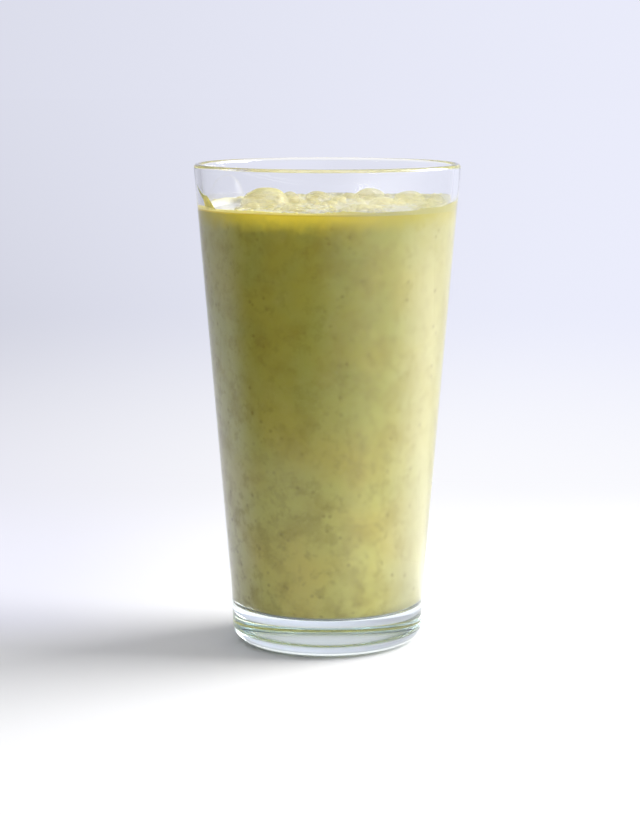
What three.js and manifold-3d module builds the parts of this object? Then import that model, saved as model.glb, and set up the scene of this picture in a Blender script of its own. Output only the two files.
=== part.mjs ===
// A tall tumbler of green smoothie with a bubbly froth on top. Millimetres, +Z up.
// The origin is the centre of the foot, on the surface the glass stands on; -Y is its front.

import * as THREE from 'three';
import { mergeVertices } from 'three/addons/utils/BufferGeometryUtils.js';
import Module from 'manifold-3d';

// Tumbler
const glassHeight = 161.7;
const rimRadius = 44.5; // outside of the wall at the top
const footRadius = 31.1; // where the straight wall would reach the table
const footSwell = 1.24; // how far the thick base stands out beyond that straight wall
const footSwellTop = 22; // height where the swell has faded into the wall
const heelRound = 6.5; // outer edge of the base
const footRingWidth = 1.2; // flat ring that the glass stands on
const undersideStep = 3; // width of the smooth step from the ring up to the underside
const undersideEdge = 1.2; // height of the underside beside the step
const undersideMiddle = 1.6; // height of the underside in the middle
const baseThickness = 12.4; // table to inner floor
const floorRound = 5; // corner between floor and wall, inside
const wallAtRim = 2.2;
const wallAtFloor = 3;

// Smoothie and froth
const level = 146.8; // height of the drink at the wall
const gap = 0.3; // clearance between neighbouring pieces
const frothAtFront = 0.9; // thickness of the froth at the front wall
const frothAtBack = 2; // thickness of the froth at the back wall
const frothRoll = 0.25; // how far the froth heaves up and down
const frothClimb = { height: 2.2, width: 3.2, turn: 8, spread: 38 }; // up the right wall; mm and degrees
const bubbleCount = 70; // places tried for a bubble
const bubbleSmallest = 1.2; // radius
const bubbleLargest = 3.6;
const bubbleRise = 0.6; // height of a small bubble's dome over its radius
const bubbleSink = 0.2; // depth of its centre in the froth
const largeBubbles = [ // domes that stand out, with their height over the level
  { x: -20.3, y: -8, radius: 8.1, height: 7.4 },
  { x: -12.6, y: 4, radius: 3.7, height: 5.2 },
  { x: -24.3, y: -20, radius: 3.1, height: 3.3 },
  { x: -9.6, y: -31, radius: 3, height: 2.3 },
  { x: -3.2, y: 26, radius: 4.6, height: 4 },
  { x: 15, y: 24, radius: 5.8, height: 5 },
  { x: 28, y: 12, radius: 5.5, height: 5 },
  { x: 36.5, y: 1, radius: 3.3, height: 4.5 },
  { x: 18, y: -5, radius: 4.7, height: 4 },
];
const barePatch = { x: -32.6, y: -1, halfWidth: 5.4, halfDepth: 19 }; // froth-free drink at the left

// Smear that the pour left on the wall above the drink, at the left front: a blob with a rising tail
const smearThickness = 0.9;
const smearFront = -22.4; // Y where the blob meets the drink in front
const smearBlobBack = -14.7; // Y of the blob's other end
const smearBlobHeight = 5.3; // over the level
const smearTip = { y: -6.7, height: 8.7 }; // end of the tail
const smearTailWidth = 1.5;

// Facets
const glassSides = 72; // round the glass and the drink
const cornerSteps = 6; // along a rounded edge
const swellSteps = 4; // up the swell of the base
const undersideSteps = 3; // across the underside, and again across its step
const frothSides = 48;
const frothRings = 9; // from the axis to the wall
const bubbleSides = 8;
const largeBubbleSides = 18;
const smearSides = 144; // round the whole wall, of which the smear keeps a part

const wallSlope = (rimRadius - footRadius) / glassHeight;
const coneRadius = (z) => footRadius + wallSlope * z;
const outerRadius = (z) => coneRadius(z) + footSwell * Math.max(0, 1 - z / footSwellTop) ** 2;
const wallThickness = (z) => THREE.MathUtils.mapLinear(z, baseThickness, glassHeight, wallAtFloor, wallAtRim);
const innerRadius = (z) => coneRadius(z) - wallThickness(z);
const innerSlope = (innerRadius(glassHeight) - innerRadius(baseThickness)) / (glassHeight - baseThickness);

const glassMaterial = new THREE.MeshStandardMaterial({
  name: 'clear_glass', color: 0xe4eef0, roughness: 0.02, metalness: 0, transparent: true, opacity: 0.35,
});
const smoothieMaterial = new THREE.MeshStandardMaterial({
  name: 'green_smoothie', color: 0xa8a35c, roughness: 0.45, metalness: 0,
});
const frothMaterial = new THREE.MeshStandardMaterial({
  name: 'pale_froth', color: 0xdad5a6, roughness: 0.3, metalness: 0,
});
const smearMaterial = new THREE.MeshStandardMaterial({
  name: 'smoothie_film', color: 0xb6b35c, roughness: 0.35, metalness: 0,
});

// A small seeded random source, so that the froth is the same every time.
function seededRandom(seed) {
  let state = seed;
  return () => {
    state = (state * 1664525 + 1013904223) % 4294967296;
    return state / 4294967296;
  };
}

// Points of a round corner in a (radius, height) profile, from one angle to another.
function corner(centreRadius, centreHeight, round, from, to, steps) {
  const points = [];
  for (let i = 0; i <= steps; i += 1) {
    const angle = from + ((to - from) * i) / steps;
    points.push(new THREE.Vector2(
      centreRadius + round * Math.cos(angle),
      centreHeight + round * Math.sin(angle),
    ));
  }
  return points;
}

// Spins a profile round the Z axis. It runs from the axis, outwards and up, back to the axis.
function spin(profile, sides) {
  return new THREE.LatheGeometry(profile, sides).rotateX(Math.PI / 2);
}

// The rounded corner between the floor and the wall of the space inside the glass, shrunk by a clearance.
function floorCorner(clearance) {
  const round = floorRound - clearance;
  const height = baseThickness + floorRound;
  const radius = innerRadius(height) - floorRound * Math.hypot(1, innerSlope);
  return corner(radius, height, round, -Math.PI / 2, -Math.atan(innerSlope), cornerSteps);
}

// The hollow under the base, from the axis outwards: a faint dome, then a smooth step down to the ring.
function underside(ringRadius) {
  const edge = ringRadius - undersideStep;
  const points = [];
  for (let i = 0; i <= undersideSteps; i += 1) {
    const share = i / undersideSteps;
    const height = THREE.MathUtils.lerp(undersideMiddle, undersideEdge, share ** 2);
    points.push(new THREE.Vector2(edge * share, height));
  }
  for (let i = 1; i <= undersideSteps; i += 1) {
    const share = i / undersideSteps;
    const height = undersideEdge * (1 - THREE.MathUtils.smoothstep(share, 0, 1));
    points.push(new THREE.Vector2(edge + undersideStep * share, height));
  }
  return points;
}

// The wall stands upright where it leaves the round heel, and leans out more and more through the swell.
function swell() {
  const points = [];
  for (let i = 1; i <= swellSteps; i += 1) {
    const height = THREE.MathUtils.lerp(heelRound, footSwellTop, i / swellSteps);
    points.push(new THREE.Vector2(outerRadius(height), height));
  }
  return points;
}

function tumblerGeometry() {
  const heelCentre = outerRadius(heelRound) - heelRound;
  const lipRound = wallAtRim / 2;
  const lipHeight = glassHeight - lipRound;
  const profile = [
    ...underside(heelCentre - footRingWidth),
    ...corner(heelCentre, heelRound, heelRound, -Math.PI / 2, 0, cornerSteps),
    ...swell(),
    ...corner(outerRadius(lipHeight) - lipRound, lipHeight, lipRound, 0, Math.PI, cornerSteps),
    ...floorCorner(0).reverse(),
    new THREE.Vector2(0, baseThickness),
  ];
  return spin(profile, glassSides);
}

// The drink fills the glass from the floor to its level.
function smoothieGeometry() {
  const profile = [
    new THREE.Vector2(0, baseThickness + gap),
    ...floorCorner(gap),
    new THREE.Vector2(innerRadius(level) - gap, level),
    new THREE.Vector2(0, level),
  ];
  return spin(profile, glassSides);
}

const wasm = await Module();
wasm.setup();

function toSolid(geometry) {
  const bare = new THREE.BufferGeometry();
  bare.setAttribute('position', geometry.getAttribute('position'));
  bare.setIndex(geometry.getIndex());
  const merged = mergeVertices(bare, 1e-4);
  const index = merged.getIndex().array;
  const triangles = [];
  for (let i = 0; i < index.length; i += 3) {
    const [a, b, c] = [index[i], index[i + 1], index[i + 2]];
    if (a !== b && b !== c && c !== a) triangles.push(a, b, c);
  }
  return new wasm.Manifold(new wasm.Mesh({
    numProp: 3,
    vertProperties: new Float32Array(merged.getAttribute('position').array),
    triVerts: new Uint32Array(triangles),
  }));
}

function toGeometry(solid) {
  const mesh = solid.getMesh();
  const geometry = new THREE.BufferGeometry();
  geometry.setAttribute('position', new THREE.BufferAttribute(mesh.vertProperties, 3));
  geometry.setIndex(new THREE.BufferAttribute(mesh.triVerts, 1));
  geometry.computeVertexNormals();
  return geometry;
}

// The froth's upper face: thicker at the back, with slow waves and a climb up the right wall.
function frothTop(x, y) {
  const wall = innerRadius(level);
  const sheet = THREE.MathUtils.lerp(frothAtFront, frothAtBack, 0.5 + y / (2 * wall));
  const wave = Math.sin(0.19 * x + 0.6) * Math.cos(0.15 * y - 0.4) + 0.5 * Math.sin(0.33 * (x + y));
  const turn = THREE.MathUtils.radToDeg(Math.atan2(y, x));
  const climb = frothClimb.height * Math.exp(-(((turn - frothClimb.turn) / frothClimb.spread) ** 2));
  const atWall = (1 - THREE.MathUtils.smoothstep(wall - Math.hypot(x, y), 0, frothClimb.width)) ** 1.5;
  return level + gap + sheet + frothRoll * wave + climb * atWall;
}

// A flat-bottomed sheet of froth whose top follows frothTop. It starts too wide, and is cut later.
function frothSheet() {
  const bottom = level + gap;
  const top = bottom + frothAtBack;
  const wall = innerRadius(level);
  const profile = [
    new THREE.Vector2(0, bottom),
    new THREE.Vector2(rimRadius, bottom),
    new THREE.Vector2(rimRadius, top),
  ];
  for (let i = frothRings; i >= 0; i -= 1) profile.push(new THREE.Vector2((wall * i) / frothRings, top));
  const sheet = spin(profile, frothSides);
  const position = sheet.getAttribute('position');
  for (let i = 0; i < position.count; i += 1) {
    const onTop = position.getZ(i) > (bottom + top) / 2;
    if (onTop) position.setZ(i, frothTop(position.getX(i), position.getY(i)));
  }
  return toSolid(sheet);
}

// Bubbles spread evenly over the froth on a sunflower spiral, in seeded sizes.
function bubbles() {
  const random = seededRandom(7);
  const spread = innerRadius(level) - bubbleSmallest;
  const list = [];
  for (let i = 0; i < bubbleCount; i += 1) {
    const reach = spread * Math.sqrt((i + 0.5) / bubbleCount);
    const turn = i * Math.PI * (3 - Math.sqrt(5)) + 0.5 * random();
    const x = reach * Math.cos(turn);
    const y = reach * Math.sin(turn);
    const radius = THREE.MathUtils.lerp(bubbleSmallest, bubbleLargest, random() ** 1.6);
    const inPatch = Math.hypot(
      (x - barePatch.x) / (barePatch.halfWidth + radius),
      (y - barePatch.y) / (barePatch.halfDepth + radius),
    ) < 1;
    const onLargeOne = largeBubbles.some((large) => Math.hypot(x - large.x, y - large.y) < large.radius);
    if (!inPatch && !onLargeOne) list.push({ x, y, radius });
  }
  return list;
}

// A bubble shows as a low round dome that grows out of the froth.
function domeSolid(x, y, base, radius, height, sides) {
  const ball = new THREE.SphereGeometry(1, sides, Math.round(sides * 0.6)).rotateX(Math.PI / 2);
  return toSolid(ball.scale(radius, radius, height).translate(x, y, base));
}

// What lies inside the glass above the drink, clear of the wall.
function headSpace() {
  const bottom = level + gap;
  return toSolid(spin([
    new THREE.Vector2(0, bottom),
    new THREE.Vector2(innerRadius(bottom) - gap, bottom),
    new THREE.Vector2(innerRadius(glassHeight) - gap, glassHeight),
    new THREE.Vector2(0, glassHeight),
  ], glassSides));
}

function barePatchSolid() {
  const outline = new THREE.Shape();
  outline.absellipse(0, 0, barePatch.halfWidth, barePatch.halfDepth, 0, 2 * Math.PI);
  const depth = glassHeight - level;
  const block = new THREE.ExtrudeGeometry(outline, { depth, bevelEnabled: false, curveSegments: 14 });
  return toSolid(block.translate(barePatch.x, barePatch.y, level));
}

function frothGeometry() {
  let froth = frothSheet();
  for (const { x, y, radius, height } of largeBubbles) {
    froth = froth.add(domeSolid(x, y, level + gap, radius, height - gap, largeBubbleSides));
  }
  for (const { x, y, radius } of bubbles()) {
    const base = frothTop(x, y) - bubbleSink;
    froth = froth.add(domeSolid(x, y, base, radius, bubbleRise * radius, bubbleSides));
  }
  return toGeometry(froth.intersect(headSpace()).subtract(barePatchSolid()));
}

// The smear is a thin shell on the inside of the wall, cut to its outline as seen from the left.
function smearGeometry() {
  const bottom = frothTop(-innerRadius(level), smearBlobBack) + gap;
  const top = level + smearTip.height;
  const shell = toSolid(spin([
    new THREE.Vector2(innerRadius(bottom) - gap - smearThickness, bottom),
    new THREE.Vector2(innerRadius(bottom) - gap, bottom),
    new THREE.Vector2(innerRadius(top) - gap, top),
    new THREE.Vector2(innerRadius(top) - gap - smearThickness / 2, top),
    new THREE.Vector2(innerRadius(bottom) - gap - smearThickness, bottom),
  ], smearSides));
  const blobTop = level + smearBlobHeight;
  const tailRoot = blobTop - smearTailWidth;
  const tailMiddle = (smearBlobBack + smearTip.y) / 2;
  const outline = new THREE.Shape();
  outline.moveTo(smearFront, bottom - 1);
  outline.quadraticCurveTo(smearFront + 4, bottom + 1, smearFront + 4.5, blobTop);
  outline.lineTo(smearBlobBack - 1.5, blobTop);
  outline.quadraticCurveTo(tailMiddle, blobTop + 1.2, smearTip.y, top + 0.1);
  outline.quadraticCurveTo(tailMiddle, tailRoot + 1.2, smearBlobBack, tailRoot);
  outline.lineTo(smearBlobBack, bottom - 1);
  const depth = 2 * rimRadius;
  const prism = new THREE.ExtrudeGeometry(outline, { depth, bevelEnabled: false, curveSegments: 8 });
  prism.rotateX(Math.PI / 2).rotateZ(Math.PI / 2).translate(-depth, 0, 0);
  return toGeometry(shell.intersect(toSolid(prism)));
}

function piece(name, geometry, material) {
  const mesh = new THREE.Mesh(geometry, material);
  mesh.name = name;
  return mesh;
}

const group = new THREE.Group();
group.name = 'glass_of_smoothie';
group.add(
  piece('tumbler', tumblerGeometry(), glassMaterial),
  piece('smoothie', smoothieGeometry(), smoothieMaterial),
  piece('froth', frothGeometry(), frothMaterial),
  piece('wall_smear', smearGeometry(), smearMaterial),
);

export default group;
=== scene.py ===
# %% [markdown]
# # A glass of green smoothie
#
# A tall clear tumbler with a thick base stands on a plain white floor. It holds an opaque
# yellow-green drink under a wet, bubbly froth, and the pour left a smear on the wall above it.
# The construction model gives the sizes. This lesson gives every piece its fine shape and finish.

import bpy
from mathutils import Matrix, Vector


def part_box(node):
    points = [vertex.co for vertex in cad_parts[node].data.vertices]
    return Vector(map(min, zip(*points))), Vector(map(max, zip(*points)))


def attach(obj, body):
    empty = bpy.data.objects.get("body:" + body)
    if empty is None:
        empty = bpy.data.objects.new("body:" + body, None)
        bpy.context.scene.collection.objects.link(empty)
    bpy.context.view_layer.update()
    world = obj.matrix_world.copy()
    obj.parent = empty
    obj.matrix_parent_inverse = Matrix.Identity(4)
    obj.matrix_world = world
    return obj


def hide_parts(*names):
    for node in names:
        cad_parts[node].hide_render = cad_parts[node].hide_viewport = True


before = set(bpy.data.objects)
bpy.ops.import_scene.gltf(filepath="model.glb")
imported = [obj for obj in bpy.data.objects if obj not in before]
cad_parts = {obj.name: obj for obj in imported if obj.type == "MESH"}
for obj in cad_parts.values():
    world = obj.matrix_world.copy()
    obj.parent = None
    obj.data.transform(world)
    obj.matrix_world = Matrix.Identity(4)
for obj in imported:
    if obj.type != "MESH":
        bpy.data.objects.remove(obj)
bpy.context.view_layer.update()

# %% Modules
import math

import bmesh
import bpy
import numpy as np
from mathutils import Matrix, Vector, noise

# %% [markdown]
# ## The sizes
#
# Blender works in metres, so every size in millimetres is multiplied by MM. The height of the
# glass and the level of the drink come from the frame. The other sizes are the driving
# dimensions of the real glass: a straight cone-shaped wall, a rounded heel, a thick floor, and
# the punt, which is a glassmaker's word for the hollow under the base.

# %% Driving dimensions
MM = 0.001
glass_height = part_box("tumbler")[1].z
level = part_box("smoothie")[1].z
rim_radius = 44.5 * MM
foot_radius = 31.1 * MM
foot_bulge = 1.24 * MM
foot_bulge_top = 22 * MM
heel_round = 6.5 * MM
foot_ring = 1.2 * MM
punt_step = 5 * MM
punt_edge_rise = 0.8 * MM
punt_middle_rise = 1.2 * MM
base_thickness = 12.4 * MM
floor_round = 5 * MM
wall_at_rim = 2.2 * MM
wall_at_floor = 3 * MM
print(f"glass {glass_height / MM:.1f} mm tall, drink up to {level / MM:.1f} mm")


# %% The wall as formulas
def cone_radius(height):
    """Radius of the straight cone that the wall follows."""
    return foot_radius + (rim_radius - foot_radius) * height / glass_height


def outer_radius(height):
    """Radius of the outside, where the cone turns almost upright at the thick foot."""
    return cone_radius(height) + foot_bulge * max(0, 1 - height / foot_bulge_top) ** 2


def inner_radius(height):
    """Radius of the inside of the wall, which grows thinner towards the rim."""
    share = (height - base_thickness) / (glass_height - base_thickness)
    return cone_radius(height) - (wall_at_floor + (wall_at_rim - wall_at_floor) * share)


def lean(radius, height):
    """Angle by which a wall leans outwards at a height."""
    return math.atan((radius(height + 0.01 * MM) - radius(height)) / (0.01 * MM))


outer_lean = lean(cone_radius, 0)
inner_rise = inner_radius(glass_height) - inner_radius(base_thickness)
inner_lean = math.atan(inner_rise / (glass_height - base_thickness))
print(f"the wall leans out by {math.degrees(outer_lean):.1f} degrees")

# %% [markdown]
# ## The camera
#
# The photograph was taken from about 0.8 m away and a little above the rim, with a short
# telephoto lens. The rim looks 133 px wide to each side, and its ellipse, the level and the
# foot open more and more towards the bottom, which fixes the height and the tilt. The axis
# of the glass lies 7 px right of the middle, so the camera stands a little to the left.

# %% Camera
image_height = 814
focal_px = 2407
camera_distance = 804 * MM
camera_height = 199.3 * MM
camera_tilt = math.radians(8.46)
axis_offset_px = 7.3

camera_data = bpy.data.cameras.new("camera")
camera_data.sensor_width = 36
camera_data.lens = camera_data.sensor_width * focal_px / image_height
camera_data.clip_end = 30
camera = bpy.data.objects.new("camera", camera_data)
camera.location = (-axis_offset_px / focal_px * camera_distance, -camera_distance, camera_height)
camera.rotation_euler = (math.pi / 2 - camera_tilt, 0, 0)
bpy.context.scene.collection.objects.link(camera)
bpy.context.scene.camera = camera
bpy.context.scene.view_settings.view_transform = "Standard"
print(f"lens {camera_data.lens:.0f} mm")

# %% [markdown]
# ## Light paths
#
# Light that enters a thick glass base bounces off its inner faces many times before it leaves,
# and light at the wall is thrown back and forth between the drink and the glass. With few
# bounces the base has black streaks and the drink is too dark.

# %% Bounces
light_paths = bpy.context.scene.cycles
light_paths.max_bounces = 32
light_paths.glossy_bounces = 24
light_paths.transmission_bounces = 24
light_paths.diffuse_bounces = 8
light_paths.transparent_max_bounces = 24
print("up to", light_paths.max_bounces, "bounces")

# %% [markdown]
# ## Shader sums in Python
#
# A procedural finish is mostly arithmetic on patterns. Wiring it node by node hides the idea,
# so a small class wraps a socket and lets Python's own signs add the Math nodes. Every other
# node comes from one method, which sets the node up first and then feeds its sockets. What
# comes back in every finish, such as a fade or a mix, has a short method that calls it.


# %% Sockets that can be added and multiplied
class Number:
    """A shader value that takes part in sums."""

    def __init__(self, nodes, socket):
        self.nodes = nodes
        self.socket = socket

    def sum(self, operation, first, second):
        return self.nodes.add("ShaderNodeMath", {"operation": operation}, {0: first, 1: second})

    def __add__(self, other):
        return self.sum("ADD", self, other)

    def __sub__(self, other):
        return self.sum("SUBTRACT", self, other)

    def __rsub__(self, other):
        return self.sum("SUBTRACT", other, self)

    def __mul__(self, other):
        return self.sum("MULTIPLY", self, other)

    def __pow__(self, other):
        return self.sum("POWER", self, other)

    __radd__ = __add__
    __rmul__ = __mul__


# %% Node trees
class Nodes:
    """The node tree of a material or of the world."""

    def __init__(self, owner):
        owner.use_nodes = True
        self.owner = owner
        self.tree = owner.node_tree
        self.tree.nodes.clear()

    def add(self, kind, settings=None, sockets=None, out=0):
        """One node: its settings first, then its sockets, and one of its outputs comes back."""
        node = self.tree.nodes.new(kind)
        for name, value in (settings or {}).items():
            setattr(node, name, value)
        for name, value in (sockets or {}).items():
            if isinstance(value, Number):
                self.tree.links.new(value.socket, node.inputs[name])
            else:
                node.inputs[name].default_value = value
        return Number(self, node.outputs[out])

    def fade(self, value, start, end):
        """0 up to start, 1 from end on, and smooth in between."""
        settings = {"interpolation_type": "SMOOTHSTEP"}
        return self.add("ShaderNodeMapRange", settings, {0: value, 1: start, 2: end})

    def mix(self, share, first, second):
        """A colour between two others."""
        return self.add("ShaderNodeMix", {"data_type": "RGBA"}, {0: share, 6: first, 7: second}, 2)

    def blend(self, share, first, second):
        """A shader between two others."""
        return self.add("ShaderNodeMixShader", sockets={0: share, 1: first, 2: second})

    def place(self):
        """The place of a point on the piece, in metres from the middle of the foot."""
        return self.add("ShaderNodeTexCoord", out="Object")

    def coordinate(self, vector, axis):
        """The X, Y or Z of a vector: to the right, away from the camera, or up."""
        return self.add("ShaderNodeSeparateXYZ", sockets={0: vector}, out=axis)

    def vector(self, operation, first, second=(0, 0, 0)):
        """Vector Math that gives a vector."""
        return self.add("ShaderNodeVectorMath", {"operation": operation}, {0: first, 1: second})

    def length(self, vector):
        """The length of a vector."""
        return self.add("ShaderNodeVectorMath", {"operation": "LENGTH"}, {0: vector}, "Value")

    def facing(self, direction, side):
        """1 for a direction that points to the side given, -1 for one that points away."""
        sockets = {0: direction, 1: side}
        return self.add("ShaderNodeVectorMath", {"operation": "DOT_PRODUCT"}, sockets, "Value")

    def cloud(self, place, scale, detail=3.0, roughness=0.5):
        """Soft noise between 0 and 1. A larger scale gives smaller clouds."""
        sockets = {"Vector": place, "Scale": scale, "Detail": detail, "Roughness": roughness}
        return self.add("ShaderNodeTexNoise", sockets=sockets)

    def end(self, shader, volume=None, kind="ShaderNodeOutputMaterial"):
        """The output node, which finishes the tree."""
        output = self.tree.nodes.new(kind)
        self.tree.links.new(shader.socket, output.inputs["Surface"])
        if volume:
            self.tree.links.new(volume.socket, output.inputs["Volume"])
        print(f"{self.owner.name}: {len(self.tree.nodes)} nodes")


# %% Materials and tones
def new_material(name):
    """A material and its node tree, which is still empty."""
    material = bpy.data.materials.new(name)
    return material, Nodes(material)


def tone(red, green, blue):
    """A colour as it looks on a screen, 0 to 255, as the linear values that shaders use."""
    shares = [value / 255 for value in (red, green, blue)]
    linear = [s / 12.92 if s < 0.04 else ((s + 0.055) / 1.055) ** 2.4 for s in shares]
    return (*linear, 1)


plain_white = (1, 1, 1, 1)
no_glow = (0, 0, 0, 1)
print("pale froth in linear values:", [round(c, 2) for c in tone(220, 214, 178)])

# %% [markdown]
# ## The stage
#
# The floor and the backdrop are one seamless white sheet, and the light is a wide window at
# the right, a little behind the glass. A sweep of paper with lamps of its own would need many
# more lights, so the tones of the room depend on the direction instead: pale towards the
# window, and greyer away from it.

# %% Tones of the room by direction
window_side = (0.97, 0.23, 0)
camera_left = (-0.707, -0.707, 0)
backdrop_tone = tone(235, 237, 252)
side_tone = tone(190, 191, 202)
ceiling_tone = tone(216, 217, 221)


def room_tone(nodes, direction):
    """The room's tone along a level direction: pale, and greyer away from the window."""
    towards_window = nodes.fade(nodes.facing(direction, window_side), -0.4, 0.45)
    return nodes.mix(towards_window, side_tone, backdrop_tone)


# %% World
room = bpy.data.worlds.new("room")
bpy.context.scene.world = room
nodes = Nodes(room)
direction = nodes.add("ShaderNodeTexCoord", out="Generated")
upwards = nodes.fade(nodes.coordinate(direction, "Z"), 0.02, 0.45)
sky = nodes.mix(upwards, room_tone(nodes, direction), ceiling_tone)
nodes.end(nodes.add("ShaderNodeBackground", sockets={"Color": sky}), kind="ShaderNodeOutputWorld")

# %% Floor
floor_reach = 9
shape = bmesh.new()
bmesh.ops.create_circle(shape, cap_ends=True, radius=floor_reach, segments=96)
floor_mesh = bpy.data.meshes.new("floor")
shape.to_mesh(floor_mesh)
shape.free()
floor = bpy.data.objects.new("floor", floor_mesh)
bpy.context.scene.collection.objects.link(floor)
print("floor of", 2 * floor_reach, "m")

# %% [markdown]
# ## The white paper
#
# Near the glass the paper is a plain diffuse white that takes the shadow. Behind the glass at
# the left its colour is a little darker, a painted shade where the room gives it less light.
# Further away it fades into a soft glow of the same tone as the world, so that no horizon shows.
# Towards the window and the camera the paper glows brighter than white, a painted pool of
# sunlight, and the glass mirrors that in its right side.

# %% Paper tones
lit_paper = (0.83, 0.83, 0.84, 1)
dim_paper = (0.71, 0.71, 0.78, 1)
bright_floor = tone(253, 253, 255)
dim_floor = tone(241, 241, 253)
sunny_side = (0.97, -0.23, 0)
sunny_tone = (2.4, 2.4, 2.36, 1)
print("sunny paper is", sunny_tone[0], "times as bright as white")

# %% Paper that takes the shadow
paper, nodes = new_material("white_paper")
place = nodes.place()
distance = nodes.length(place)
outwards = nodes.vector("NORMALIZE", place)
behind = nodes.coordinate(place, "Y")
# Painted shade: the paper's colour is darker behind the glass at the left.
at_left = 1 - nodes.fade(nodes.coordinate(place, "X"), -0.12, -0.03)
painted_shade_share = at_left * nodes.fade(behind, -0.03, 0.03)
paper_tone = nodes.mix(painted_shade_share, lit_paper, dim_paper)
white = nodes.add("ShaderNodeBsdfDiffuse", sockets={"Color": paper_tone})

# %% Paper that glows further away
towards_window = nodes.fade(nodes.facing(outwards, window_side), -0.5, 0.3)
near_tone = nodes.mix(towards_window, dim_floor, bright_floor)
glow_tone = nodes.mix(nodes.fade(distance, 0.0, 1.1), near_tone, room_tone(nodes, outwards))
glow = nodes.add("ShaderNodeEmission", sockets={"Color": glow_tone})
near_share = (1 - nodes.fade(distance, 0.25, 1.0)) * (1 - nodes.fade(behind, 0.0, 0.3))
ground = nodes.blend(near_share, glow, white)
# The sunny patch is painted sunlight: there the paper glows brighter than white.
nearer = nodes.add("ShaderNodeMath", {"operation": "MAXIMUM"}, {0: (0.32 - distance) * 1.2, 1: 0.0})
sunny_share = nodes.fade(nodes.facing(outwards, sunny_side) + nearer, 0.42, 0.97)
sunny_share = sunny_share * nodes.fade(distance, 0.04, 0.12) * (1 - nodes.fade(distance, 0.6, 0.9))
sunny = nodes.add("ShaderNodeEmission", sockets={"Color": sunny_tone})
nodes.end(nodes.blend(sunny_share, ground, sunny))
floor_mesh.materials.append(paper)

# %% [markdown]
# ## The dark card
#
# Clear glass shows mostly what it mirrors. The world is pale all round, but a real room is
# dark at the front left, so a photographer's dark card stands there: a sloping edge spun
# through part of a turn, whose sides fade out. The camera doesn't see it, but it takes light
# from that side of the drink, and the glass mirrors it.

# %% Dark card
card_line = [(0.215, 0.0), (0.7, 0.6)]
card_middle = math.radians(225)
card_turn = math.radians(140)
card_start = Matrix.Rotation(card_middle - card_turn / 2, 3, "Z")
shape = bmesh.new()
line = [shape.verts.new((radius, 0, height)) for radius, height in card_line]
shape.edges.new(line)
bmesh.ops.rotate(shape, verts=shape.verts, cent=(0, 0, 0), matrix=card_start)
bmesh.ops.spin(
    shape, geom=shape.verts[:] + shape.edges[:], cent=(0, 0, 0), axis=(0, 0, 1), dvec=(0, 0, 0),
    angle=card_turn, space=Matrix.Identity(4), steps=48, use_merge=False,
    use_normal_flip=False, use_duplicate=False)
card_mesh = bpy.data.meshes.new("dark_card")
shape.to_mesh(card_mesh)
shape.free()
card_mesh.shade_smooth()
card = bpy.data.objects.new("dark_card", card_mesh)
bpy.context.scene.collection.objects.link(card)
card.visible_camera = False
card.visible_transmission = False
print("dark card of", len(card_mesh.polygons), "faces")

# %% Dark felt
dark_tone = tone(100, 96, 86)
felt, nodes = new_material("dark_felt")
felt.cycles.emission_sampling = "NONE"
place = nodes.place()
outwards = nodes.vector("NORMALIZE", nodes.vector("MULTIPLY", place, (1, 1, 0)))
off_floor = nodes.fade(nodes.coordinate(place, "Z"), 0, 0.05)
share = nodes.fade(nodes.facing(outwards, camera_left), 0.55, 0.9) * off_floor
clear = nodes.add("ShaderNodeBsdfTransparent", sockets={"Color": plain_white})
dark = nodes.add("ShaderNodeEmission", sockets={"Color": dark_tone})
nodes.end(nodes.blend(share, clear, dark))
card_mesh.materials.append(felt)


# %% Lights
def soft_light(name, place, size, power, colour):
    """A rectangular light that looks at the middle of the glass."""
    light = bpy.data.lights.new(name, "AREA")
    light.shape = "RECTANGLE"
    light.size, light.size_y = size
    light.energy = power
    light.color = colour
    lamp = bpy.data.objects.new(name, light)
    lamp.location = place
    aim = Vector((0, 0, glass_height / 2)) - Vector(place)
    lamp.rotation_euler = aim.to_track_quat("-Z", "Y").to_euler()
    bpy.context.scene.collection.objects.link(lamp)
    print(name, "at", [round(c, 2) for c in place], "m")


soft_light("window", (1.519, 0.351, 0.9), (1.5, 1.2), 58, (1.0, 1.0, 0.99))

# %% [markdown]
# ## Making a piece
#
# A drinking glass is a thing of rotation, and so is what fills it. A thin outline of points is
# spun round the Z axis with the spin operator. Round corners are arcs, and a few extra rings
# beside each arc keep the smooth shading of the long straight wall clean, because light that is
# bent through glass shows the slightest fault in it.


# %% Outlines and spinning
def arc(radius, height, round_, start, end, steps):
    """Points of a round corner in an outline of (radius, height) pairs, angles in degrees."""
    turns = [math.radians(start + (end - start) * i / steps) for i in range(steps + 1)]
    return [(radius + round_ * math.cos(t), height + round_ * math.sin(t)) for t in turns]


def spin(outline, steps):
    """A bmesh of the outline turned once round the Z axis."""
    shape = bmesh.new()
    line = [shape.verts.new((radius, 0, height)) for radius, height in outline]
    for start, end in zip(line, line[1:]):
        shape.edges.new((start, end))
    bmesh.ops.spin(
        shape, geom=shape.verts[:] + shape.edges[:], cent=(0, 0, 0), axis=(0, 0, 1),
        dvec=(0, 0, 0), angle=2 * math.pi, space=Matrix.Identity(4), steps=steps,
        use_merge=True, use_normal_flip=False, use_duplicate=False)
    bmesh.ops.remove_doubles(shape, verts=shape.verts, dist=0.0001 * MM)
    bmesh.ops.recalc_face_normals(shape, faces=shape.faces)
    return shape


def mark_creases(shape, degrees=35):
    """Keeps edges that turn by more than this sharp in the smooth shading."""
    for edge in shape.edges:
        if len(edge.link_faces) == 2 and edge.calc_face_angle() > math.radians(degrees):
            edge.smooth = False


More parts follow.
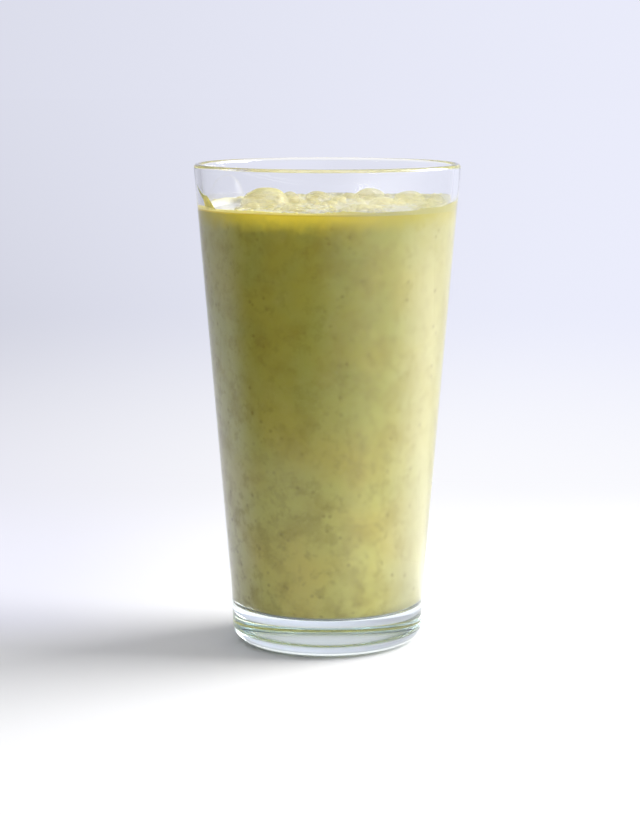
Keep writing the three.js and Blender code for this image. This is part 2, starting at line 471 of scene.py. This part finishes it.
def place_piece(name, mesh, material, nodes_replaced=()):
    """An object for a finished mesh, which rides on the glass and has its finish."""
    mesh.shade_smooth()
    mesh.materials.append(material)
    piece = bpy.data.objects.new(name, mesh)
    bpy.context.scene.collection.objects.link(piece)
    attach(piece, "root")
    if nodes_replaced:
        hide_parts(*nodes_replaced)
    print(f"{name}: {len(mesh.polygons)} faces")


def finish_piece(name, shape, material, nodes_replaced=()):
    """Turns a bmesh into a piece of the glass."""
    mark_creases(shape)
    mesh = bpy.data.meshes.new(name)
    shape.to_mesh(mesh)
    shape.free()
    place_piece(name, mesh, material, nodes_replaced)


# %% [markdown]
# ## The tumbler
#
# The real glass is pressed soda-lime: a thick floor with a slight hollow beneath it, a rounded
# heel, and a wall that thins towards a fire-polished lip. Clear glass is a Principled shader
# with full transmission. Its faint blue-green only shows along long paths through the base, so
# it is an absorption inside the glass and not a colour of the surface. The mould leaves the
# punt a little rough, so a mask by place raises the roughness there alone.

# %% Glass material
punt_top = (1.4 * MM, 2 * MM)
punt_edge = (23.5 * MM, 25 * MM)
punt_roughness = 0.22
clear_glass, nodes = new_material("clear_glass")
place = nodes.place()
near_foot = 1 - nodes.fade(nodes.coordinate(place, "Z"), *punt_top)
near_axis = 1 - nodes.fade(nodes.length(place), *punt_edge)
surface = nodes.add("ShaderNodeBsdfPrincipled", sockets={
    "Base Color": plain_white, "Roughness": near_foot * near_axis * punt_roughness,
    "IOR": 1.5, "Transmission Weight": 1.0})
tint = nodes.add("ShaderNodeVolumeAbsorption", sockets={"Color": (0.36, 0.74, 0.8, 1), "Density": 3.0})
nodes.end(surface, tint)

# %% Tumbler shape
round_steps = 14
wall_rings = 24
guard = 0.4 * MM
heel_centre = outer_radius(heel_round) - heel_round


def floor_corner(clearance):
    """The inner corner between floor and wall, moved out into the glass by a negative clearance."""
    height = base_thickness + floor_round
    radius = inner_radius(height) - floor_round / math.cos(inner_lean)
    return arc(radius, height, floor_round - clearance, -90, -math.degrees(inner_lean), round_steps)


def underside():
    """The punt from the axis outwards: nearly flat, then a soft step down to the foot ring."""
    edge = heel_centre - foot_ring - punt_step
    steps = 12
    outline = []
    for i in range(steps + 1):
        radius = edge * i / steps
        dome = (punt_middle_rise - punt_edge_rise) * (1 - (i / steps) ** 2)
        outline.append((radius, punt_edge_rise + dome))
    for i in range(1, steps + 1):
        share = i / steps
        outline.append((edge + punt_step * share, punt_edge_rise * (1 - share**2 * (3 - 2 * share))))
    return outline


def tumbler_outline():
    """The section of the glass: underside, heel, outside, lip, inside and floor."""
    outline = underside()
    heel_end = -math.degrees(lean(outer_radius, heel_round))
    outline += arc(heel_centre, heel_round, heel_round, -90, heel_end, 2 * round_steps)
    lip_round = wall_at_rim / 2
    lip_height = glass_height - lip_round
    low, high = heel_round + guard, lip_height - guard
    outline += [(outer_radius(z), z) for z in np.linspace(low, foot_bulge_top, 12)]
    outline += [(outer_radius(z), z) for z in np.linspace(foot_bulge_top + 2 * MM, high, wall_rings)]
    outline += arc(outer_radius(lip_height) - lip_round, lip_height, lip_round, 0, 180, round_steps)
    low = base_thickness + floor_round + guard
    outline += [(inner_radius(z), z) for z in np.linspace(high, low, wall_rings)]
    outline += reversed(floor_corner(0))
    corner_foot = floor_corner(0)[0][0]
    outline += [(corner_foot - guard, base_thickness), (corner_foot / 2, base_thickness)]
    outline += [(0, base_thickness)]
    return outline


finish_piece(
    "tumbler_glass", spin(tumbler_outline(), 320), clear_glass, ["tumbler"])

# %% [markdown]
# ## The smoothie
#
# Blended fruit and leaves make an opaque yellow-green with soft clouds of lighter and darker
# green, browner wisps and fine dark specks of leaf. It touches the glass, and an air gap would
# show as a silvery layer, so the body reaches just into the wall. Its top climbs the wall as
# a small meniscus.
#
# Light also wanders through a real drink and lights the side towards the window and the band
# below the froth. Scattering inside the drink would be the true way, but it is noisy behind
# glass, so the base colour changes with the place instead: the window side is painted paler
# and the band golden, both painted light, and the golden band has a painted glow. The far
# left edge is painted paler too, a painted reflection of the pale room in the glass.

# %% Smoothie colour from foot to top, paler low down as painted light
smoothie_skin, nodes = new_material("green_smoothie")
place = nodes.place()
height = nodes.coordinate(place, "Z")
around = nodes.vector("NORMALIZE", nodes.vector("MULTIPLY", place, (1, 1, 0)))
greener = nodes.fade(nodes.cloud(place, 38, 2.0), 0.35, 0.65)
upper_tone = nodes.mix(greener, tone(186, 177, 72), tone(181, 180, 86))
# Lower down the drink is paler: painted light from the white floor below.
lower_tone = nodes.mix(greener, tone(220, 207, 108), tone(215, 211, 118))
body_tone = nodes.mix(nodes.fade(height, 10 * MM, 110 * MM), lower_tone, upper_tone)

# %% Paler sides: painted light at the window, painted reflection at the left edge
# Painted light: the side towards the window is paler.
sunlit = nodes.fade(nodes.facing(around, (1, 0, 0)), 0.42, 0.9)
pale_tone = nodes.mix(nodes.fade(height, 20 * MM, 90 * MM), tone(190, 188, 150), tone(210, 205, 160))
body_tone = nodes.mix(sunlit * 0.82, body_tone, pale_tone)
# Painted reflection: the far left edge is paler, as the glass mirrors the pale room there.
left_edge = nodes.fade(nodes.facing(around, (-1, 0, 0)), 0.6, 0.98)
painted_reflection_share = left_edge * (0.75 - 0.4 * nodes.fade(height, 30 * MM, 120 * MM))
body_tone = nodes.mix(painted_reflection_share, body_tone, tone(232, 230, 190))

# %% Clouds, each with its scale, detail, roughness, fade, share and tone
clouds = [
    (90, 4.0, 0.6, (0.42, 0.7), 0.46, tone(164, 146, 56)),
    (260, 3.0, 0.6, (0.48, 0.7), 0.34, tone(154, 138, 56)),
    (120, 2.0, 0.5, (0.5, 0.75), 0.25, tone(204, 198, 106))]
away_from_window = 1 - sunlit * 0.62
for scale, detail, roughness, (start, full), share, cloud_tone in clouds:
    clouded = nodes.fade(nodes.cloud(place, scale, detail, roughness), start, full)
    body_tone = nodes.mix(clouded * share * away_from_window, body_tone, cloud_tone)
print(len(clouds), "layers of clouds")

# %% Specks of leaf
dots = nodes.add("ShaderNodeTexVoronoi", sockets={"Vector": place, "Scale": 230.0})
speckled = (1 - nodes.fade(dots, 0.02, 0.24)) * nodes.fade(nodes.cloud(place, 70, 1.0), 0.36, 0.56)
body_tone = nodes.mix(speckled * 0.42, body_tone, tone(132, 108, 42))

# %% Golden band and foot, both painted light
# Painted light: the band below the froth is golden, and at the left it has a painted glow.
uneven = (nodes.cloud(place, 230, 3.0) - 0.5) * (4 * MM)
golden = nodes.fade(height + uneven, level - 6.5 * MM, level + 0.3 * MM)
body_tone = nodes.mix(golden * (1 - sunlit * 0.6), body_tone, tone(204, 190, 70))
# Painted light: the foot of the drink is a pale blue-grey, so that the thick base looks pale.
painted_light_foot = 1 - nodes.fade(height, base_thickness + 0.3 * MM, base_thickness + 1.7 * MM)
body_tone = nodes.mix(painted_light_foot, body_tone, tone(198, 210, 208))
across = nodes.coordinate(place, "X")
lit_through = nodes.fade(across, -42 * MM, -16 * MM) * (1 - nodes.fade(across, -8 * MM, 26 * MM))
glow_tone = nodes.mix(golden * lit_through, no_glow, (0.32, 0.235, 0.012, 1))

# %% [markdown]
# Light that comes through the glass meets a drink that bends it less. The ratio of the two
# is 0.89, so at a glancing angle the drink mirrors fully, which the Fresnel node works out.

# %% Skin of the drink
drink_to_glass = 0.89
skin = nodes.add("ShaderNodeBsdfPrincipled", sockets={
    "Base Color": body_tone, "Roughness": 0.3, "IOR": 1.1, "Specular IOR Level": 0.2,
    "Emission Color": glow_tone, "Emission Strength": 1.0})
mirror = nodes.add("ShaderNodeBsdfGlossy", sockets={"Color": plain_white, "Roughness": 0.0})
glancing = nodes.add("ShaderNodeFresnel", sockets={"IOR": drink_to_glass})
nodes.end(nodes.blend(glancing, skin, mirror))

# %% Smoothie shape
reach = 0.15 * MM
meniscus = 0.3 * MM


def smoothie_outline():
    """The section of the drink: floor, corner, wall, and a top that lies just below its edge."""
    outline = [(0, base_thickness - reach)] + floor_corner(-reach)
    low = base_thickness + floor_round + guard
    outline += [(inner_radius(z) + reach, z) for z in np.linspace(low, level, wall_rings)]
    edge, sunk = inner_radius(level) - guard, level - meniscus
    outline += [(edge, sunk), (edge / 2, sunk), (0, sunk)]
    return outline


finish_piece(
    "smoothie_drink", spin(smoothie_outline(), 256), smoothie_skin, ["smoothie"])

# %% [markdown]
# ## The froth
#
# The blender beats air into the drink, and the air rises to a wet froth. Up close it is a low
# pale sheet of fine foam, and larger bubbles stand on it. The sheet is a fine grid, bent to a
# round disc with a mapping that keeps all its cells the same size, and every small bubble lifts
# the grid under it. Where small domes meet, the higher one wins, which leaves the crease that
# real bubbles have. Along the right wall the foam has climbed a few millimetres.

# %% Froth sizes, in millimetres
froth_gap = 0.3
froth_front = 0.9
froth_back = 2.0
froth_roll = 0.25
climb_height = 2.2
climb_width = 3.2
climb_turn = 8
climb_spread = 38
inside = inner_radius(level) / MM
large_bubbles = [
    (-20.3, -8, 8.1, 7.4), (-12.6, 4, 3.7, 5.2), (-24.3, -20, 3.1, 3.3), (-9.6, -31, 3.0, 2.3),
    (-3.2, 26, 4.6, 4.0), (15, 24, 5.8, 5.0), (28, 12, 5.5, 5.0), (36.5, 1, 3.3, 4.5), (18, -5, 4.7, 4.0)]
bare_middle = (-32.6, -1)
bare_half = (5.4, 19)
bare_height = 0.05
large_dip = 0.7
medium_count = 70
medium_radius = (1.2, 3.6)
medium_rise = 0.6
medium_sink = 0.2
medium_wander = 0.5
medium_bias = 1.6


def smooth_step(value, start, end):
    """0 up to start, 1 from end on, and smooth in between, for numbers and arrays."""
    share = np.clip((value - start) / (end - start), 0, 1)
    return share * share * (3 - 2 * share)


def froth_sheet(x, y):
    """Height of the froth over the level, without its bubbles."""
    towards_back = 0.5 + y / (2 * inside)
    swell = np.sin(0.19 * x + 0.6) * np.cos(0.15 * y - 0.4) + 0.5 * np.sin(0.33 * (x + y))
    turn = np.degrees(np.arctan2(y, x))
    climb = climb_height * np.exp(-((turn - climb_turn) / climb_spread) ** 2)
    at_wall = (1 - smooth_step(inside - np.hypot(x, y), 0, climb_width)) ** 1.5
    slope = froth_gap + froth_front + (froth_back - froth_front) * towards_back
    return slope + froth_roll * swell + climb * at_wall


# %% Where the medium bubbles are
def draw(seed):
    """A small seeded random source, so that the bubbles are those of the construction model."""
    state = seed
    while True:
        state = (state * 1664525 + 1013904223) % 4294967296
        yield state / 4294967296


def medium_spots():
    """Bubbles spread evenly over the froth on a sunflower spiral, as x, y, radius and top."""
    random_share = draw(7)
    spots = []
    for i in range(medium_count):
        away = (inside - medium_radius[0]) * math.sqrt((i + 0.5) / medium_count)
        turn = i * math.pi * (3 - math.sqrt(5)) + medium_wander * next(random_share)
        x, y = away * math.cos(turn), away * math.sin(turn)
        share = next(random_share) ** medium_bias
        radius = medium_radius[0] + (medium_radius[1] - medium_radius[0]) * share
        off_bare = math.hypot(
            (x - bare_middle[0]) / (bare_half[0] + radius), (y - bare_middle[1]) / (bare_half[1] + radius))
        off_large = min(math.hypot(x - large[0], y - large[1]) / large[2] for large in large_bubbles)
        if off_bare >= 1 and off_large >= 1:
            spots.append((x, y, radius, float(froth_sheet(x, y)) - medium_sink + medium_rise * radius))
    return spots


medium_bubbles = medium_spots()
print(len(medium_bubbles), "medium bubbles")

# %% Where the small bubbles are
froth_random = np.random.default_rng(7)
small_count = 2400
small_radius = 0.25
small_spread = 1.0
patch_width = 9
patch_edge = -0.12
turn = 2 * math.pi * froth_random.random(small_count)
radius = small_radius + small_spread * froth_random.random(small_count) ** 3
away = (inside - 0.6 * radius) * np.sqrt(froth_random.random(small_count))
x, y = away * np.cos(turn), away * np.sin(turn)
patches = np.array([noise.noise(Vector((a / patch_width, b / patch_width, 0))) for a, b in zip(x, y)])
kept = patches > patch_edge
for large_x, large_y, large_radius, _ in large_bubbles:
    kept &= np.hypot(x - large_x, y - large_y) > 0.8 * large_radius
small_bubbles = np.stack([x, y, radius], axis=1)[kept]
print(len(small_bubbles), "small bubbles in the sheet")


# %% Froth relief
def froth_height(x, y):
    """Height of the froth over the level with its small bubbles, in millimetres.

    The sheet dips under the large bubbles, and it lies flat in the bare patch.
    """
    sheet = froth_sheet(x, y)
    height = sheet.copy()
    for bubble_x, bubble_y, radius in small_bubbles:
        near = np.flatnonzero((np.abs(x - bubble_x) < radius) & (np.abs(y - bubble_y) < radius))
        away = np.hypot(x[near] - bubble_x, y[near] - bubble_y) / radius
        dome = sheet[near] + radius * (0.5 * np.sqrt(np.clip(1 - away**2, 0, 1)) - 0.1)
        height[near] = np.maximum(height[near], np.where(away < 1, dome, -np.inf))
    for large_x, large_y, radius, _ in large_bubbles:
        away = np.hypot(x - large_x, y - large_y) / radius
        height -= large_dip * (1 - smooth_step(away, 0.5, 0.95))
    patch = np.hypot((x - bare_middle[0]) / bare_half[0], (y - bare_middle[1]) / bare_half[1])
    return bare_height + (height - bare_height) * smooth_step(patch, 0.9, 1.25)


# %% Froth shape
froth_cells = 288


def round_disc(across, along):
    """Places of a square grid from -1 to 1, moved to a disc with cells of equal size."""
    wide = np.abs(across) > np.abs(along)
    radius = np.where(wide, across, along)
    safe = np.where(radius == 0, 1, radius)
    turn = np.where(wide, math.pi / 4 * along / safe, math.pi / 2 - math.pi / 4 * across / safe)
    return radius * np.cos(turn), radius * np.sin(turn)


shape = bmesh.new()
bmesh.ops.create_grid(shape, x_segments=froth_cells, y_segments=froth_cells, size=1)
top_count = len(shape.verts)
rim_edges = [edge for edge in shape.edges if edge.is_boundary]
skirt = bmesh.ops.extrude_edge_only(shape, edges=rim_edges)["geom"]
lower_edges = [part for part in skirt if isinstance(part, bmesh.types.BMEdge) and part.is_boundary]
bmesh.ops.contextual_create(shape, geom=lower_edges)
bmesh.ops.recalc_face_normals(shape, faces=shape.faces)
for edge in rim_edges + lower_edges:
    edge.smooth = False
froth_mesh = bpy.data.meshes.new("froth_foam")
shape.to_mesh(froth_mesh)
shape.free()

spots = np.empty(3 * len(froth_mesh.vertices))
froth_mesh.vertices.foreach_get("co", spots)
spots = spots.reshape(-1, 3)
disc_x, disc_y = round_disc(spots[:, 0], spots[:, 1])
is_top = np.arange(len(spots)) < top_count
lift = np.where(is_top, froth_height(disc_x * inside, disc_y * inside), 0)
radius = np.array([inner_radius(level + h * MM) for h in lift]) + reach
spots[:, 0], spots[:, 1], spots[:, 2] = disc_x * radius, disc_y * radius, level + lift * MM
froth_mesh.vertices.foreach_set("co", spots.ravel())
print("froth from", round(lift[is_top].min(), 1), "to", round(lift[is_top].max(), 1), "mm over the level")

# %% [markdown]
# ## The foam's finish
#
# Foam is drink with air in it, so it is the pale form of the drink's own colour, wet and a
# little see-through at its surface. A fine cell pattern gives it the grain of bubbles too
# small to model. The flat bare patch is painted paler, a painted reflection of the pale room.
# Its side against the glass carries the golden line of painted light on, painted paler towards
# the window, and towards the window, where light shines through it, the foam has a faint
# painted glow.

# %% Foam from above
foam, nodes = new_material("wet_foam")
place = nodes.place()
bare_scale = (1 / (bare_half[0] * MM), 1 / (bare_half[1] * MM), 0)
off_middle = nodes.vector("SUBTRACT", place, (bare_middle[0] * MM, bare_middle[1] * MM, 0))
from_bare = nodes.length(nodes.vector("MULTIPLY", off_middle, bare_scale))
frothy = nodes.fade(from_bare, 0.95, 1.2)
cell_sockets = {"Vector": place, "Scale": 1500.0, "Smoothness": 0.6}
cells = nodes.add("ShaderNodeTexVoronoi", {"feature": "SMOOTH_F1"}, cell_sockets)
creamy = nodes.fade(nodes.cloud(place, 150, 3.0), 0.4, 0.7)
foam_tone = nodes.mix(creamy, tone(221, 217, 186), tone(212, 206, 150))
foam_tone = nodes.mix(nodes.fade(cells, 0.35, 0.75) * 0.3, foam_tone, tone(214, 204, 136))
# Painted reflection: the flat bare patch is paler, as if it mirrored the pale room.
foam_tone = nodes.mix(frothy, tone(230, 227, 208), foam_tone)

# %% Foam against the glass, with painted light
height = nodes.coordinate(place, "Z")
across = nodes.coordinate(place, "X")
from_axis = nodes.length(nodes.vector("MULTIPLY", place, (1, 1, 0)))
side = nodes.fade(from_axis, inner_radius(level), inner_radius(level) + 0.12 * MM)
upper_side = nodes.fade(height, level + 0.3 * MM, level + 0.7 * MM)
sunlit = nodes.fade(across, -8 * MM, 22 * MM)
# Painted light: the side carries on the golden band, and it is paler towards the window.
side_tone = nodes.mix(upper_side, tone(200, 184, 66), tone(224, 214, 134))
side_tone = nodes.mix(sunlit, side_tone, tone(200, 194, 128))
foam_tone = nodes.mix(side, foam_tone, side_tone)

# %% Light through the foam
# Painted glow: the side of the foam and its window half emit a faint light.
side_glow = nodes.mix(upper_side, (0.26, 0.19, 0.01, 1), (0.33, 0.29, 0.1, 1))
side_glow = nodes.mix(sunlit, side_glow, no_glow)
lit_through = nodes.fade(across, 14 * MM, 38 * MM)
foam_glow = nodes.mix(lit_through, no_glow, (0.16, 0.17, 0.085, 1))
foam_glow = nodes.mix(side, foam_glow, side_glow)

# %% Foam surface
grain = {"Strength": 0.3, "Distance": 0.2 * MM, "Height": (1 - cells) * frothy}
surface = nodes.add("ShaderNodeBsdfPrincipled", sockets={
    "Base Color": foam_tone, "Roughness": 0.18, "IOR": 1.36,
    "Normal": nodes.add("ShaderNodeBump", sockets=grain),
    "Emission Color": foam_glow, "Emission Strength": 1.0,
    "Subsurface Weight": 0.6, "Subsurface Radius": (1.0, 0.9, 0.5), "Subsurface Scale": 1.5 * MM})
nodes.end(surface)
place_piece("froth_foam", froth_mesh, foam, ["froth"])

# %% [markdown]
# ## The large bubbles
#
# The larger bubbles are hollow, with a skin of drink so thin that the far side shows through.
# Each is a dome cut from a sphere and given a thin wall. A film looks clear when it is seen
# straight on and coloured where it is seen edge-on, because the sight line then passes through
# more of it, so the share of drink in the shader grows towards the edge of each dome. Pulp
# clings to its foot and crown. Towards the window the films are lit from behind, which a
# translucent share and a faint glow imitate.

# %% Share of drink in a bubble film
film, nodes = new_material("bubble_film")
place = nodes.place()
height = nodes.coordinate(place, "Z")
pulp = nodes.fade(nodes.cloud(place, 200, 3.0, 0.6), 0.45, 0.65)
foot = 1 - nodes.fade(height, level + 1 * MM, level + 3 * MM)
crown = nodes.fade(height, level + 4.4 * MM, level + 6 * MM)
edge_on = nodes.add("ShaderNodeLayerWeight", sockets={"Blend": 0.5}, out="Facing")
cover = 0.06 + pulp * 0.12 + foot * 0.06 + crown * 0.24 + edge_on ** 3 * 0.28

# %% Bubble film material
drink_share = edge_on ** 2 * 0.7 + crown * 0.5 + pulp * 0.4
film_tone = nodes.mix(drink_share, tone(236, 234, 216), tone(222, 216, 134))
lit_through = nodes.fade(nodes.coordinate(place, "X"), -5 * MM, 30 * MM)
film_glow = nodes.mix(lit_through, (0.02, 0.02, 0.01, 1), (0.32, 0.33, 0.15, 1))
skin = nodes.add("ShaderNodeBsdfPrincipled", sockets={
    "Base Color": film_tone, "Roughness": 0.2, "IOR": 1.36, "Specular IOR Level": 0.3,
    "Emission Color": film_glow, "Emission Strength": 1.0})
through = nodes.add("ShaderNodeBsdfTranslucent", sockets={"Color": tone(238, 236, 204)})
clear = nodes.add("ShaderNodeBsdfTransparent", sockets={"Color": (0.99, 0.98, 0.94, 1)})
body = nodes.blend(cover, clear, nodes.blend(0.6, skin, through))
gloss = nodes.add("ShaderNodeBsdfGlossy", sockets={"Color": plain_white, "Roughness": 0.2})
nodes.end(nodes.blend(0.008 + edge_on ** 5 * 0.15, body, gloss))

# %% Large bubble shapes
film_thickness = 0.06 * MM
film_foot = 0.6
film_sag = 0.06
film_wall_gap = 0.1 * MM


def film_dome(shape, middle_x, middle_y, radius, top, fineness=32):
    """Adds one hollow dome to a bmesh; sizes in millimetres, its top measured from the level."""
    foot_height = float(froth_sheet(np.float64(middle_x), np.float64(middle_y))) - film_foot
    rise = top - foot_height
    dome = bmesh.new()
    bmesh.ops.create_uvsphere(dome, u_segments=fineness * 3 // 2, v_segments=fineness, radius=1)
    bmesh.ops.bisect_plane(
        dome, geom=dome.verts[:] + dome.edges[:] + dome.faces[:], dist=0.0001,
        plane_co=(0, 0, 0), plane_no=(0, 0, -1), clear_outer=True)
    bmesh.ops.scale(dome, verts=dome.verts, vec=(radius * MM, radius * MM, rise * MM))
    for vertex in dome.verts:
        spot = vertex.co / MM
        bend = Vector((spot.x / 6 + middle_x, spot.y / 6 + middle_y, spot.z / 6))
        vertex.co += vertex.co.normalized() * (film_sag * radius * noise.noise(bend)) * MM
    bmesh.ops.translate(dome, verts=dome.verts, vec=(middle_x * MM, middle_y * MM, level + foot_height * MM))
    for vertex in dome.verts:
        from_axis = math.hypot(vertex.co.x, vertex.co.y)
        limit = inner_radius(vertex.co.z) - film_wall_gap
        if from_axis > limit:
            vertex.co.x *= limit / from_axis
            vertex.co.y *= limit / from_axis
    bmesh.ops.recalc_face_normals(dome, faces=dome.faces)
    bmesh.ops.solidify(dome, geom=dome.faces[:], thickness=film_thickness)
    dome_mesh = bpy.data.meshes.new("dome")
    dome.to_mesh(dome_mesh)
    dome.free()
    shape.from_mesh(dome_mesh)
    bpy.data.meshes.remove(dome_mesh)


shape = bmesh.new()
for bubble in large_bubbles:
    film_dome(shape, *bubble)
for bubble in medium_bubbles:
    film_dome(shape, *bubble, fineness=20)
finish_piece("froth_large_bubbles", shape, film)

# %% [markdown]
# ## The wall bubble
#
# One bubble at the left has stretched up the wall. Its film holds hardly any drink, so it is
# clear but for its highlights: a see-through shader with a gloss that grows towards its edge.

# %% Wall bubble
wall_bubble = (-33.2, -4, 6.2, 11.2)
clear_film, nodes = new_material("clear_film")
edge_on = nodes.add("ShaderNodeLayerWeight", sockets={"Blend": 0.5}, out="Facing")
clear = nodes.add("ShaderNodeBsdfTransparent", sockets={"Color": plain_white})
gloss = nodes.add("ShaderNodeBsdfGlossy", sockets={"Color": plain_white, "Roughness": 0.25})
nodes.end(nodes.blend(0.006 + edge_on ** 5 * 0.3, clear, gloss))
shape = bmesh.new()
film_dome(shape, *wall_bubble)
finish_piece("froth_wall_bubble", shape, clear_film)

# %% [markdown]
# ## The smear
#
# Beside the wall bubble the pour left a smear: a green tail that widens downwards to a yellow
# blob. A flat grid between a lower and an upper edge is extruded, both sides of it are bent
# round the wall, and the wet side stands a little proud. The tail is greener and greyer than
# the blob, so the tone changes with the height.

# %% Smear sizes, in millimetres
smear_front = -22.4
smear_blob_back = -14.7
smear_blob_top = 5.3
smear_tip = (-6.7, 8.7)
smear_tail_width = 1.9
smear_tip_width = 0.1
smear_blob_slope = 6.5
smear_foot = 0.8
smear_proud = 0.2
smear_cells = (72, 28)


def smear_edges(y):
    """Lower and upper edge of the smear over the level, at a distance along the wall."""
    blob_rise = smooth_step(y, smear_front, smear_front + smear_blob_slope)
    to_tip = np.clip((y - smear_blob_back) / (smear_tip[0] - smear_blob_back), 0, 1) ** 1.25
    upper = smear_foot + (smear_blob_top - smear_foot) * blob_rise + (smear_tip[1] - smear_blob_top) * to_tip
    tail_lower = upper - smear_tip_width - (smear_tail_width - smear_tip_width) * (1 - to_tip)
    in_tail = smooth_step(y, smear_blob_back - 1, smear_blob_back + 1.5)
    return smear_foot + (tail_lower - smear_foot) * in_tail, upper


# %% Smear material
smear_film, nodes = new_material("smoothie_film")
place = nodes.place()
pulp = nodes.fade(nodes.cloud(place, 320, 3.0, 0.6), 0.4, 0.65)
smear_tone = nodes.mix(pulp, tone(206, 197, 118), tone(176, 172, 84))
thin = nodes.fade(nodes.coordinate(place, "Z"), level + 3.5 * MM, level + 6.5 * MM)
smear_tone = nodes.mix(thin, smear_tone, tone(146, 156, 92))
grain = {"Strength": 0.4, "Distance": 0.3 * MM, "Height": nodes.cloud(place, 700, 2.0)}
nodes.end(nodes.add("ShaderNodeBsdfPrincipled", sockets={
    "Base Color": smear_tone, "Roughness": 0.2, "IOR": 1.36,
    "Normal": nodes.add("ShaderNodeBump", sockets=grain),
    "Subsurface Weight": 0.5, "Subsurface Radius": (1.0, 0.9, 0.4), "Subsurface Scale": 1 * MM}))

# %% Smear shape
shape = bmesh.new()
bmesh.ops.create_grid(shape, x_segments=smear_cells[0], y_segments=smear_cells[1], size=1)
for vertex in shape.verts:
    along = smear_front + (smear_tip[0] - smear_front) * (vertex.co.x + 1) / 2
    lower, upper = smear_edges(along)
    vertex.co.z = lower + (upper - lower) * (vertex.co.y + 1) / 2
    vertex.co.y = along
wet = bmesh.ops.extrude_face_region(shape, geom=shape.faces[:])["geom"]
wet_side = {part for part in wet if isinstance(part, bmesh.types.BMVert)}
for vertex in shape.verts:
    height = level + vertex.co.z * MM
    radius = inner_radius(height) + reach
    if vertex in wet_side:
        radius -= smear_proud * MM
    y = vertex.co.y * MM
    vertex.co = (-math.sqrt(radius**2 - y**2), y, height)
bmesh.ops.recalc_face_normals(shape, faces=shape.faces)
finish_piece("wall_smear_film", shape, smear_film, ["wall_smear"])
